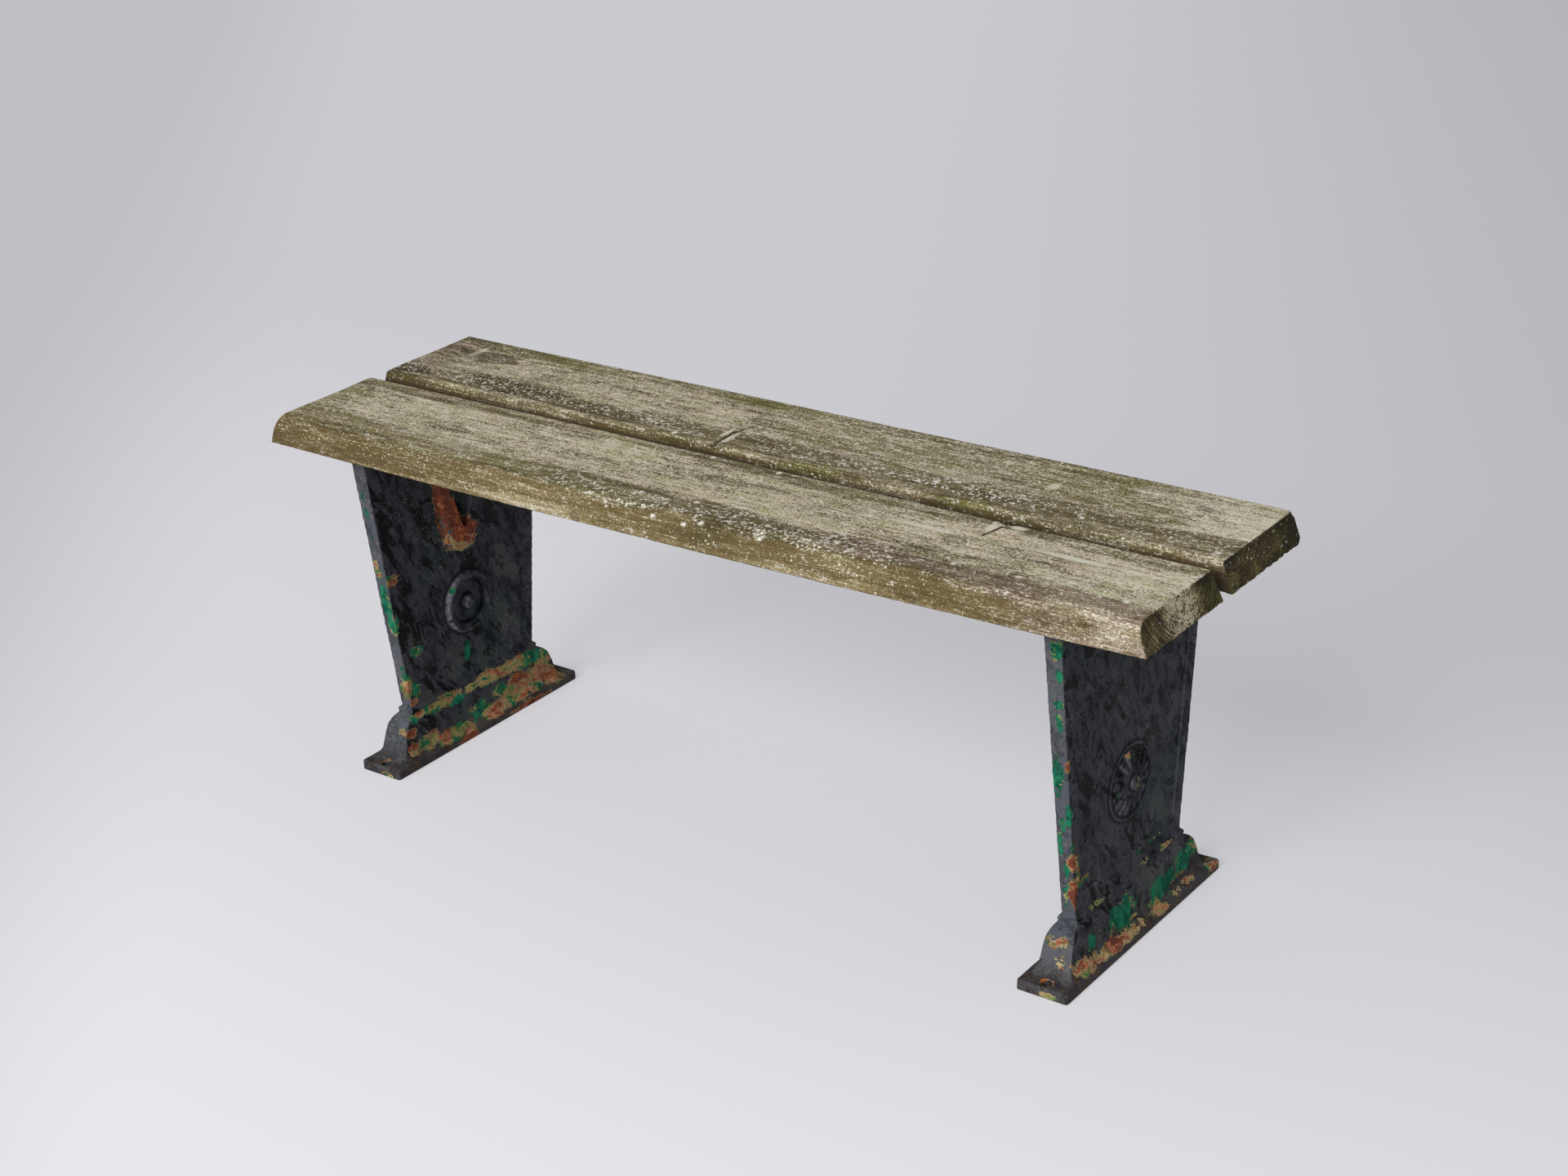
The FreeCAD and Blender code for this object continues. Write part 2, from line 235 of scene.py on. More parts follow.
floor_shape = bmesh.new()
bmesh.ops.create_grid(floor_shape, x_segments=1, y_segments=1, size=floor_half_width)
floor_mesh = bpy.data.meshes.new("floor")
floor_shape.to_mesh(floor_mesh)
floor_shape.free()
floor = add_object("floor", floor_mesh)
floor_paper, at, normal = new_material("floor_paper")
# the paper's tone is painted darker with distance, to the left and to the right: painted shade for
# the fall of light, and a painted shadow to the right
paper = at.axis(1).rise(-1.0, 0.1).mix(floor_near, floor_middle)
paper = at.axis(1).rise(-0.1, 1.3).mix(paper, floor_far)
paper = (at.axis(0) + 0.85 * at.axis(1)).rise(-0.85, -1.65).mix(paper, floor_left_shade)
shade_to_right = (at.axis(0) + 0.55 * at.axis(1)).rise(-0.3, 1.9) * at.axis(1).rise(-0.3, 1.1)
paper = shade_to_right.mix(paper, floor_right_shade)
lit_paper = paper.node("ShaderNodeBsdfPrincipled", {}, {"Base Color": paper, "Roughness": 0.9})
seen_paper = paper.node("ShaderNodeEmission", {}, {"Color": paper, "Strength": 1.0})
seen = paper.node("ShaderNodeLightPath", {}, {}, "Is Camera Ray")
seen = seen + seen.beside("Is Glossy Ray") + seen.beside("Is Transmission Ray")
both_papers = paper.node("ShaderNodeMixShader", {},
                         {0: seen * floor_glow_share, 1: lit_paper, 2: seen_paper})
floor_outlet = floor_paper.node_tree.nodes.new("ShaderNodeOutputMaterial")
floor_paper.node_tree.links.new(both_papers.socket, floor_outlet.inputs["Surface"])
floor_mesh.materials.append(floor_paper)

soft_light("front_light", (-0.05, 1.0, -0.68), 3.0, 28)
soft_light("left_light", (1.0, 0.45, -0.75), 0.25, 80)
room = bpy.data.worlds.new("room")
room.use_nodes = True
room.node_tree.nodes["Background"].inputs["Color"].default_value = room_tone
room.node_tree.nodes["Background"].inputs["Strength"].default_value = room_strength
bpy.context.scene.world = room


# Cast iron ends
# Each end is one grey iron casting: base plate, moulded foot, tapering upright with a
# sunk panel and rosette, seat flange and forked bracket. Many coats of paint soften it.

casting_grain = 0.00135
casting_faces_share = 0.47
paint_unevenness = 0.0005
arris_wear = 0.0005
worn_from_height = 0.01
lumps_per_metre = 42
ripples_per_metre = 130
paint_relief = 0.0025
paint_gloss = 0.06


def merged_copy(node, name):
    """A copy of a solid's mesh with its loose triangles joined."""
    shape = bmesh.new()
    shape.from_mesh(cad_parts[node].data)
    bmesh.ops.remove_doubles(shape, verts=shape.verts, dist=0.00001)
    mesh = bpy.data.meshes.new(name)
    shape.to_mesh(mesh)
    shape.free()
    return mesh


def applied(piece):
    """Bake a piece's modifiers into its mesh."""
    evaluated = piece.evaluated_get(bpy.context.evaluated_depsgraph_get())
    mesh = bpy.data.meshes.new_from_object(evaluated)
    piece.modifiers.clear()
    piece.data = mesh


def painted_casting(node, seed):
    """The casting's mesh with worn arrises, its faces made uneven by thick paint. The underside
    stays flat on the ground."""
    name = node.replace("support", "casting")
    piece = add_object(name, merged_copy(node, name))
    coat = piece.modifiers.new("coat", "REMESH")
    coat.mode = "VOXEL"
    coat.voxel_size = casting_grain
    soft = piece.modifiers.new("soft", "SMOOTH")
    soft.factor = 0.5
    soft.iterations = 2
    applied(piece)
    shape = bmesh.new()
    shape.from_mesh(piece.data)
    for vert in shape.verts:
        lump = noise.fractal(vert.co * lumps_per_metre + seed, 1.0, 2.0, 3)
        ripple = noise.noise(vert.co * ripples_per_metre + seed)
        depth = max(paint_unevenness * (0.55 - 0.6 * lump - 0.35 * ripple), 0.0)
        arris = 1.0 - max(abs(part) for part in vert.normal)
        wave = noise.noise(Vector((0.0, 0.0, vert.co.z * 80 + vert.co.y * 45)) + seed)
        depth += arris_wear * min(arris * 4, 1.0) * max(wave + 0.1 + lump * 0.3, 0.0)
        vert.co -= vert.normal * depth * min(vert.co.z / worn_from_height, 1.0)
    shape.to_mesh(piece.data)
    shape.free()
    thin = piece.modifiers.new("thin", "DECIMATE")
    thin.ratio = casting_faces_share
    applied(piece)
    for face in piece.data.polygons:
        face.use_smooth = True
    piece.data.materials.clear()
    return piece


left_casting = painted_casting("left_support", Vector((3, 1, 7)))
right_casting = painted_casting("right_support", Vector((11, 5, 2)))

black_coat = colour(61, 62, 69)
black_coat_dull = colour(71, 73, 73)
# the deep black below also paints shade in grooves and hollows; the worn grey also paints light on
# front faces and crests; the polished grey is a painted highlight
deep_black_and_shade = colour(6, 6, 8)
grey_worn_and_highlight = colour(80, 83, 90)
grey_chalky = colour(116, 111, 107)
highlight_grey = colour(112, 115, 121)
fleck_grey = colour(152, 150, 140)
teal_tint = colour(30, 58, 54)
plate_brown = colour(80, 64, 50)
green_deep = colour(10, 70, 56)
green_bright = colour(34, 118, 86)
leaf_green = colour(78, 118, 60)
old_olive = colour(140, 134, 84)
pale_cream = colour(198, 184, 138)
crust_tan = colour(160, 135, 96)
crust_brown = colour(84, 66, 45)
primer_pink = colour(176, 126, 98)
rust_mid = colour(138, 74, 52)
rust_dark = colour(94, 52, 41)
rust_orange = colour(190, 116, 58)


def reach_of(at, place, size):
    """How far off the middle of a patch of that half size: 0 in the middle, 1 at its rim."""
    shares = at.vector("SUBTRACT", place).vector("DIVIDE", size)
    return shares.vector("LENGTH", (0.0, 0.0, 0.0), 1)


def flaking_paint(name, patches, ornament):
    """Black over green over primer on rusty iron. A patch has its place and half size in mm,
    how far it is flaked off, and what shows: -1 green, 0 olive and tan, 0.6 pink, 1 rust.
    The ornament has the height of its middle and its radius, how bright the rubbed front side is,
    a painted highlight, the radius of its crest, painted lighter as a highlight, and the radii of
    its grooves, painted dark as shade, all in metres."""
    material, at, normal = new_material(name)

    # where the black has come off, and how many layers with it
    torn = at.shaken(130.0, 0.012)
    chip = torn.cells(95.0)[1]
    small_chip = torn.cells(260.0)[1]
    edge_noise = at.cloud(150, 6, 0.72)
    flake = at.cloud(34, 8, 0.7, 0.4)
    drift = at.cloud(60, 5, 0.65, 0.5)
    streaky = at.stretched((1.0, 0.6, 1.5)).cloud(52, 5, 0.6, 0.8)
    ragged = (edge_noise - 0.5) * 2.2 + (drift - 0.5) * 1.6
    mosaic = ((chip - 0.5) * 0.08 + (small_chip - 0.5) * 0.05 + (drift - 0.5) * 0.6
              + (streaky - 0.5) * 1.7 + (edge_noise - 0.5) * 0.45)
    off = (flake - 0.5) * 0.95 + (small_chip - 0.5) * 0.10 + (edge_noise - 0.5) * 0.45
    deep = mosaic * 0.8 + 0.47
    for place, size, amount, depth in patches:
        reach = reach_of(at, [mm / 1000 for mm in place], [mm / 1000 for mm in size])
        patch = 1 - (reach + ragged).rise(0.5, 1.3)
        off = off + patch * (amount * 1.15)
        deep = deep + patch * (0.26 * depth)
    deep = deep + (off - 0.25).rise(0.0, 0.5) * 0.06
    bare = off.rise(0.250, 0.262)
    rim = bare - off.rise(0.285, 0.315)

    # ridges and hollows (for painted highlight and painted shade), the ornament, faces turned to
    # the front light
    turn = at.node("ShaderNodeNewGeometry", {}, {}, "Pointiness")
    edge_highlight_and_wear = turn.rise(0.52, 0.58)
    painted_crease_shade = 1 - turn.rise(0.42, 0.49)
    middle_height, outer_radius, highlight_strength, highlight_crest_radius, shade_groove_radii = ornament
    from_boss = at.stretched((0.0, 1.0, 1.0)).vector("DISTANCE", (0.0, 0.0, middle_height), 1)
    raised = 1 - from_boss.rise(outer_radius, outer_radius + 0.005)
    facing_front = (normal.axis(2) * 0.3 - normal.axis(1)).rise(0.12, 0.85) * (1 - raised * 0.9)
    low = 1 - at.axis(2).rise(0.008, 0.030)

    # the black coat: brush strokes, dull and green tinged places, chalky wear, dirt, and painted
    # light: lighter grey on front faces and ridges (partly wear), painted highlights on the
    # ornament, painted shade in its grooves and hollows
    leaning = at.node("ShaderNodeMapping", {}, {"Vector": at, "Rotation": (-0.5, 0.0, 0.0)})
    strokes = leaning.stretched((1.0, 1.0, 0.45))
    peel = strokes.cloud(95, 6, 0.68, 0.6)
    blotch = at.cloud(17, 5, 0.62, 0.4)
    grit = at.cloud(480, 4, 0.7)
    scuffed = at.shaken(60.0, 0.03).cloud(24, 6, 0.62)
    black = peel.rise(0.30, 0.62).mix(deep_black_and_shade, black_coat)
    rear_half = at.axis(1).rise(0.0, 0.07)
    foot_half = 1 - at.axis(2).rise(0.08, 0.16)
    dull = scuffed.rise(0.55 - foot_half * 0.04, 0.58) * (0.25 + rear_half * 0.6 + foot_half * 0.5)
    black = dull.mix(black, black_coat_dull)
    black = (at.cloud(8, 3, 0.5).rise(0.52, 0.66) * 0.35).mix(black, teal_tint)
    marks = strokes.cloud(38, 7, 0.72, 0.8).rise(0.545, 0.556)
    black = (marks * (0.95 - rear_half * 0.3)).mix(black, deep_black_and_shade)
    flecks = at.cloud(420, 4, 0.85).rise(0.590, 0.640) * at.cloud(21, 4, 0.65).rise(0.50, 0.62)
    black = (flecks * 0.8).mix(black, fleck_grey)
    chalk = grit.rise(0.5, 0.62) * blotch.rise(0.4, 0.6)
    grey = chalk.mix(grey_worn_and_highlight, grey_chalky)
    grey = (marks * 0.5).mix(grey, black_coat)
    # front faces painted lighter grey, partly worn paint and partly painted light from the front
    black = (facing_front * (0.85 - low * 0.62)).mix(black, grey)
    # a painted highlight, with some rubbed wear, on the front side of the ornament where it faces
    # the front light
    rubbed_highlight = (-1 * normal.axis(1)).rise(0.15, 0.60) * raised
    rubbed_highlight = rubbed_highlight * (1 - at.axis(1).rise(-0.012, 0.010)) * edge_noise.rise(0.34, 0.56)
    black = (rubbed_highlight * highlight_strength).mix(black, highlight_grey)
    # ridges painted lighter: edge wear and painted highlight
    black = (edge_highlight_and_wear * 0.4).mix(black, grey)
    # a painted highlight along the ornament's crest
    crest_highlight = 1 - (from_boss - highlight_crest_radius).size().rise(0.0010, 0.0040)
    black = (crest_highlight * edge_noise.rise(0.35, 0.65) * 0.5).mix(black, grey_worn_and_highlight)
    # painted shade in the ornament's grooves
    for radius in shade_groove_radii:
        groove_shade = 1 - (from_boss - radius).size().rise(0.0008, 0.0028)
        black = (groove_shade * 0.7).mix(black, deep_black_and_shade)
    # hollows painted deep black as painted shade
    black = (painted_crease_shade * (0.85 + raised * 0.15)).mix(black, deep_black_and_shade)
    crust = edge_noise.rise(0.46, 0.56).mix(black_coat, plate_brown)
    black = (low * grit.rise(0.3, 0.5) * (1 - facing_front * 0.5) * 0.8).mix(black, crust)
    dust = at.cloud(650, 2, 0.7).rise(0.62, 0.70) * (1 - at.axis(2).rise(0.02, 0.07))
    black = (dust * 0.6).mix(black, old_olive)

    # the layers under it, from green down to rust
    shade = (grit - 0.5) + (edge_noise - 0.5) * 1.3 + (blotch - 0.5) * 1.4 + 0.46
    green = peel.rise(0.36, 0.6).mix(green_deep, green_bright)
    leaf = shade.rise(0.25, 0.65).mix(green_deep, leaf_green)
    olive = shade.rise(0.2, 0.75).mix(leaf_green, old_olive)
    tan = shade.rise(0.2, 0.7).mix(crust_brown, crust_tan)
    tan = (drift.rise(0.48, 0.54) * 0.7).mix(tan, old_olive)
    pink = shade.rise(0.25, 0.7).mix(rust_mid, primer_pink)
    rust = shade.rise(0.3, 0.65).mix(rust_dark, rust_mid)
    rust = (small_chip.rise(0.7, 0.8) * shade.rise(0.45, 0.6) * 0.8).mix(rust, rust_orange)
    under = deep.rise(0.345, 0.355).mix(green, leaf)
    under = deep.rise(0.390, 0.400).mix(under, olive)
    under = deep.rise(0.430, 0.445).mix(under, tan)
    under = deep.rise(0.590, 0.605).mix(under, pink)
    under = deep.rise(0.670, 0.685).mix(under, rust)
    under = (rim * drift.rise(0.40, 0.52) * deep.rise(0.35, 0.42) * 0.9).mix(under, pale_cream)
    under = ((1 - edge_noise.rise(0.36, 0.44)) * 0.6).mix(under, crust_brown)
    under = (grit.rise(0.60, 0.68) * 0.5).mix(under, black_coat)
    # hollows in the bared layers painted dark as painted shade
    under = (painted_crease_shade * 0.6).mix(under, deep_black_and_shade)
    paint = bare.mix(black, under)

    rough = 0.46 + bare * 0.36 + peel * 0.14 + low * 0.1
    height = ((1 - bare) * (0.6 + peel * 0.6 - marks * 0.45) + bare * (grit * 0.35 + chip * 0.15)
              + flake * 0.5 + scuffed * 0.5)
    finish_material(paint, rough, height, paint_relief, paint_gloss)
    return material


left_patches = (
    ((-441, -33, 345), (24, 12, 76), 0.6, 1.7),
    ((-440, -20, 292), (24, 15, 26), 0.55, 1.5),
    ((-440, -8, 264), (24, 27, 22), 0.6, 1.3),
    ((-442, -6, 244), (22, 17, 5), 0.45, -0.2),
    ((-441, -18, 345), (24, 3, 34), 0.5, 0.55),
    ((-441, -14, 322), (24, 3, 20), 0.5, -0.25),
    ((-450, -122, 240), (5, 15, 8), 0.45, 0.25),
    ((-463, -135, 247), (6, 7, 10), 0.42, -0.3),
    ((-463, -137, 261), (6, 7, 7), 0.45, 0.7),
    ((-459, -131, 214), (8, 10, 22), 0.55, -1.2),
    ((-456, -127, 180), (8, 10, 24), 0.55, -1.2),
    ((-455, -119, 124), (4, 7, 6), 0.4, -1.2),
    ((-453, -117, 110), (5, 7, 6), 0.4, -1.0),
    ((-453, -115, 95), (10, 8, 17), 0.5, 0.3),
    ((-462, -143, 330), (4, 6, 10), 0.3, -1.2),
    ((-463, -146, 352), (3, 5, 6), 0.28, -1.0),
    ((-461, -140, 300), (3, 5, 8), 0.3, -1.2),
    ((-450, -96, 138), (4, 13, 8), 0.34, -0.7),
    ((-450, -100, 89), (4, 10, 10), 0.42, -1.1),
    ((-450, -106, 74), (5, 9, 5), 0.42, 0.9),
    ((-450, -8, 103), (4, 8, 16), 0.40, -1.3),
    ((-446, -28, 193), (5, 4, 5), 0.28, -1.0),
    ((-440, 15, 176), (6, 4, 4), 0.25, -1.0),
    ((-445, -100, 58), (10, 26, 4), 0.45, -0.1),
    ((-444, -60, 58), (10, 36, 8), 0.6, 0.1),
    ((-442, -38, 52), (10, 13, 6), 0.52, -1.4),
    ((-443, -116, 56), (10, 7, 5), 0.4, -1.1),
    ((-444, -14, 57), (8, 12, 5), 0.45, 0.0),
    ((-444, 34, 57), (10, 38, 9), 0.6, 0.25),
    ((-443, 80, 55), (10, 28, 10), 0.6, -0.2),
    ((-442, 112, 50), (10, 17, 9), 0.45, -1.0),
    ((-440, -124, 42), (12, 9, 7), 0.45, 1.0),
    ((-437, -100, 24), (14, 24, 11), 0.55, 0.0),
    ((-436, -126, 22), (12, 11, 12), 0.3, 0.9),
    ((-435, -69, 16), (12, 20, 8), 0.55, 0.2),
    ((-434, -42, 17), (12, 20, 10), 0.6, 0.1),
    ((-436, -8, 27), (12, 20, 11), 0.55, -1.0),
    ((-434, 14, 18), (12, 26, 8), 0.55, 0.3),
    ((-438, 33, 36), (12, 13, 8), 0.5, -0.9),
    ((-436, 60, 23), (14, 30, 14), 0.6, 0.0),
    ((-438, 63, 38), (12, 15, 8), 0.5, 0.8),
    ((-436, 96, 27), (14, 28, 16), 0.6, 0.05),
    ((-436, 130, 22), (14, 22, 14), 0.55, 0.25),
    ((-438, 120, 42), (12, 17, 9), 0.45, 0.0),
    ((-429, -41, 4), (6, 20, 6), 0.35, 0.9),
    ((-429, 78, 4), (6, 42, 6), 0.4, 0.8),
    ((-452, -138, 48), (12, 9, 8), 0.5, 0.4),
    ((-447, -145, 36), (5, 8, 15), 0.45, 0.5),
    ((-456, -146, 32), (8, 6, 7), 0.42, 0.6),
    ((-459, -154, 12), (8, 8, 4), 0.42, 1.5),
    ((-450, -165, 3), (14, 4, 4), 0.3, 0.1),
)
right_patches = (
    ((464, -147, 382), (8, 8, 12), 0.45, -0.8),
    ((466, -145, 355), (5, 7, 8), 0.42, -1.1),
    ((463, -141, 322), (8, 6, 5), 0.26, -1.2),
    ((462, -140, 300), (5, 6, 15), 0.3, -1.2),
    ((457, -131, 236), (9, 8, 27), 0.36, -1.2),
    ((469, -132, 251), (4, 5, 8), 0.45, 0.6),
    ((467, -127, 193), (4, 7, 13), 0.42, -1.2),
    ((459, -126, 180), (4, 6, 10), 0.3, -1.2),
    ((455, -122, 155), (4, 6, 27), 0.32, -1.2),
    ((470, -121, 156), (4, 7, 9), 0.42, -1.2),
    ((468, -119, 134), (8, 7, 13), 0.50, 0.55),
    ((460, -119, 124), (5, 7, 12), 0.28, -1.1),
    ((468, -117, 100), (8, 8, 17), 0.55, 0.55),
    ((457, -115, 90), (5, 7, 20), 0.25, -0.6),
    ((467, -109, 122), (4, 4, 20), 0.4, -0.1),
    ((467, -95, 105), (4, 15, 4), 0.42, 0.0),
    ((471, -8, 210), (6, 14, 5), 0.34, 0.25),
    ((473, 6, 172), (9, 9, 9), 0.36, -0.1),
    ((470, -28, 178), (5, 4, 9), 0.24, -0.5),
    ((470, 135, 227), (10, 6, 7), 0.32, 0.9),
    ((469, 147, 300), (8, 5, 6), 0.3, 0.2),
    ((474, 16, 82), (8, 17, 7), 0.42, -1.3),
    ((474, 56, 84), (8, 24, 7), 0.36, -1.3),
    ((475, 26, 70), (8, 17, 5), 0.47, 0.65),
    ((474, -66, 68), (8, 24, 4), 0.38, 0.2),
    ((474, 74, 66), (8, 22, 4), 0.32, 0.3),
    ((470, -50, 96), (4, 7, 5), 0.42, 0.9),
    ((471, -113, 84), (8, 6, 11), 0.42, 0.9),
    ((478, -33, 38), (12, 27, 17), 0.55, -1.8),
    ((478, 52, 32), (12, 28, 11), 0.5, -1.6),
    ((478, -95, 36), (10, 10, 11), 0.45, -1.6),
    ((478, 100, 40), (10, 22, 10), 0.37, -0.9),
    ((478, 126, 44), (10, 13, 11), 0.42, -0.4),
    ((481, -13, 24), (8, 16, 4), 0.42, -0.1),
    ((481, 38, 20), (8, 18, 4), 0.42, -0.1),
    ((480, 74, 25), (8, 13, 4), 0.42, -0.1),
    ((479, 100, 28), (8, 16, 5), 0.42, -0.2),
    ((484, -30, 14), (12, 44, 7), 0.27, 0.4),
    ((484, -75, 16), (12, 27, 9), 0.28, 0.35),
    ((486, 35, 12), (10, 15, 6), 0.45, 0.5),
    ((482, -118, 20), (12, 27, 12), 0.31, 0.35),
    ((484, 90, 14), (10, 30, 5), 0.28, 0.4),
    ((486, 150, 10), (14, 15, 10), 0.3, 0.3),
    ((458, -136, 48), (16, 14, 12), 0.27, 0.5),
    ((464, -140, 30), (14, 10, 9), 0.25, 0.4),
    ((459, -154, 12), (9, 7, 4), 0.42, 1.5),
    ((465, -165, 4), (14, 4, 4), 0.30, -0.1),
)
ring_place = (0.168, 0.040, 1.0, 0.0345, (0.0105, 0.0265, 0.0412))
rosette_place = (0.176, 0.044, 0.5, 0.042, (0.0098, 0.0388, 0.0452))
for piece, node, patches, ornament in (
        (left_casting, "left_support", left_patches, ring_place),
        (right_casting, "right_support", right_patches, rosette_place)):
    piece.data.materials.append(flaking_paint(piece.name + "_paint", patches, ornament))
    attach(piece, "root")
    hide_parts(node)


# Coach screws and washers
# Hexagon headed wood screws of plain steel, driven up through the seat flanges into the
# planks, each with a round washer. They have rusted in place.

steel_relief = 0.0004
rusty_steel, at, normal = new_material("rusty_steel")
scale_noise = at.cloud(420, 6, 0.7)
patina = scale_noise.rise(0.35, 0.65).mix(rust_dark, rust_mid)
patina = at.cloud(160, 3, 0.5).rise(0.55, 0.7).mix(patina, black_coat)
finish_material(patina, 0.65 + scale_noise * 0.25, scale_noise, steel_relief)
for name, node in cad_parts.items():
    if name.startswith(("coach_screw", "washer")):
        for slot in node.material_slots:
            slot.material = rusty_steel


# Seat planks
# Two softwood planks, left bare outdoors for decades. The soft grain has worn away
# between the hard lines, lichen covers the top, and the ends are eaten by the weather.

plank_columns = 190
plank_row_width = 0.0017
plank_least_step = 0.0004
end_slant = 0.0125
nose_segments = 14
back_top_radius = 0.004
back_low_radius = 0.003
front_low_radius = 0.0025
end_radius = 0.0025

least_wear = 0.0001
mean_wear = 0.0004
fine_grain_relief = 0.00025
coarse_grain_relief = 0.0003
hollow_relief = 0.0008
end_crumble = 0.0012
end_crumble_width = 0.004
low_edge_crumble = 0.0008
low_edge_crumble_width = 0.003
wood_relief = 0.0007
wood_gloss = 0.15


class Plank:
    """What is measured on one plank: where its sides run and where it is hurt. The gap way is 1
    where the gap is behind the plank and -1 where it is in front. A close-up is a stretch that
    is cut finer: its start, its stop and its cuts. A dent has a place, a radius and a depth.
    The rest lies on the face unrolled from the top over the nose, as (along, across). A split
    runs between two such places and has a half width and a depth, a knot or a torn place has
    its middle and half sizes, and a clump of lichen has its middle."""

    def __init__(self, name, fronts, bow, back_slant, nose_radius, pale_end, gap_way, seed):
        self.name = name
        low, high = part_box(name)
        self.low, self.high = Vector(low), Vector(high)
        self.fronts = fronts
        self.bow = bow
        self.back_slant = back_slant
        self.nose_radius = nose_radius
        self.pale_end = pale_end
        self.gap_way = gap_way
        self.seed = Vector(seed)
        self.close_ups = []
        self.dents = []
        self.splits = []
        self.knots = []
        self.torn = []
        self.clumps = []


def from_split(x, across, split):
    """How far a place on the face is from a split's line."""
    start, stop = Vector(split[0]), Vector(split[1])
    run = stop - start
    offset = Vector((x, across)) - start
    share = min(max(offset.dot(run) / run.length_squared, 0.0), 1.0)
    return (offset - run * share).length


def worn_depth(plank, place, side):
    """How far the weather has eaten into the wood at a place, in metres. Side is its normal."""
    along = Vector((place.x * 5, place.y * 210, place.z * 210))
    grain = noise.noise(along + plank.seed)
    coarse = noise.noise(Vector((place.x * 3.1, place.y * 70, place.z * 70)) + plank.seed)
    hollow = noise.noise(Vector((place.x * 4, place.y * 14, place.z * 20)) + plank.seed)
    flat_side = 1.0 - abs(side.x)
    depth = (mean_wear + fine_grain_relief * grain * flat_side + coarse_grain_relief * coarse
             + hollow_relief * hollow)
    crumble = noise.fractal(place * 160 + plank.seed, 0.9, 2.0, 4)
    to_end = min(place.x - plank.low.x, plank.high.x - place.x)
    edge = math.exp(-to_end / end_crumble_width)
    depth += end_crumble * edge * max(crumble + 0.2, 0.0)
    low_edge = math.exp(-abs(place.z - plank.low.z) / low_edge_crumble_width)
    depth += low_edge_crumble * low_edge * (1.0 if side.y < 0.3 else 0.3) * max(crumble, 0.0)
    across = plank.high.z - place.z - place.y
    for split in plank.splits:
        gap = from_split(place.x, across, split)
        if gap < 4 * split[2] and flat_side > 0.5:
            depth += split[3] * math.exp(-(gap / split[2]) ** 2)
    for centre, radius, dent in plank.dents:
        reach = (place - Vector(centre)).length / radius
        if reach < 1:
            depth += dent * (1 - reach * reach) ** 0.5
    return max(depth, least_wear)


def weathered_plank(plank):
    """A sawn plank with eased edges, cut fine enough to carry its grain, then worn."""
    size = plank.high - plank.low
    middle = (plank.high + plank.low) / 2
    shape = bmesh.new()
    bmesh.ops.create_cube(shape, size=1.0)
    bmesh.ops.scale(shape, vec=size, verts=shape.verts)
    bmesh.ops.translate(shape, vec=middle, verts=shape.verts)

    def corner_edges(y, z):
        corner = Vector((0.0, y, z))
        return [edge for edge in shape.edges
                if all((Vector((0.0, vert.co.y, vert.co.z)) - corner).length < plank_least_step
                       for vert in edge.verts)]

    def ease(edges, radius, segments):
        bmesh.ops.bevel(shape, geom=edges, offset=radius, offset_type="OFFSET", affect="EDGES",
                        segments=segments, profile=0.5, material=-1)

    ease(corner_edges(plank.low.y, plank.high.z), plank.nose_radius, nose_segments)
    ease(corner_edges(plank.high.y, plank.high.z), back_top_radius, 4)
    ease(corner_edges(plank.high.y, plank.low.z), back_low_radius, 3)
    ease(corner_edges(plank.low.y, plank.low.z), front_low_radius, 3)
    ends = [edge for edge in shape.edges
            if abs(edge.verts[0].co.x - edge.verts[1].co.x) < size.x / 2]
    ease(ends, end_radius, 3)

    def slice_along(axis, start, stop, count):
        direction = Vector([1.0 if index == axis else 0.0 for index in range(3)])
        for index in range(1, count):
            level = start + (stop - start) * index / count
            everything = shape.verts[:] + shape.edges[:] + shape.faces[:]
            bmesh.ops.bisect_plane(shape, geom=everything, plane_co=direction * level,
                                   plane_no=direction, dist=0.000001)

    slice_along(1, plank.low.y, plank.high.y, round(size.y / plank_row_width))
    slice_along(2, plank.low.z, plank.high.z, round(size.z / plank_row_width))
    slice_along(0, plank.low.x, plank.high.x, plank_columns)
    for start, stop, count in plank.close_ups:
        slice_along(0, start, stop, count)

    bmesh.ops.remove_doubles(shape, verts=shape.verts, dist=plank_least_step)

    shape.normal_update()
    moves = []
    for vert in shape.verts:
        place = vert.co
        along_share = (place.x - plank.low.x) / size.x
        across_share = (plank.high.y - place.y) / size.y
        down_share = (plank.high.z - place.z) / size.z
        bend = 4 * along_share * (1 - along_share)
        left, right = plank.fronts
        front = left + (right - left) * along_share - plank.bow * bend
        shift_y = (front - plank.low.y) * across_share
        shift_y -= plank.back_slant * (1 - down_share) * (1 - across_share)
        top_inset = end_slant * (1 - down_share) * (1 - 2 * along_share)
        move = Vector((top_inset, shift_y, 0.0))
        moves.append(move - vert.normal * worn_depth(plank, place + move, vert.normal))
    for vert, move in zip(shape.verts, moves):
        vert.co += move
    mesh = bpy.data.meshes.new(plank.name + "_wood")
    shape.to_mesh(mesh)
    shape.free()
    for face in mesh.polygons:
        face.use_smooth = True
    return add_object(plank.name + "_wood", mesh)


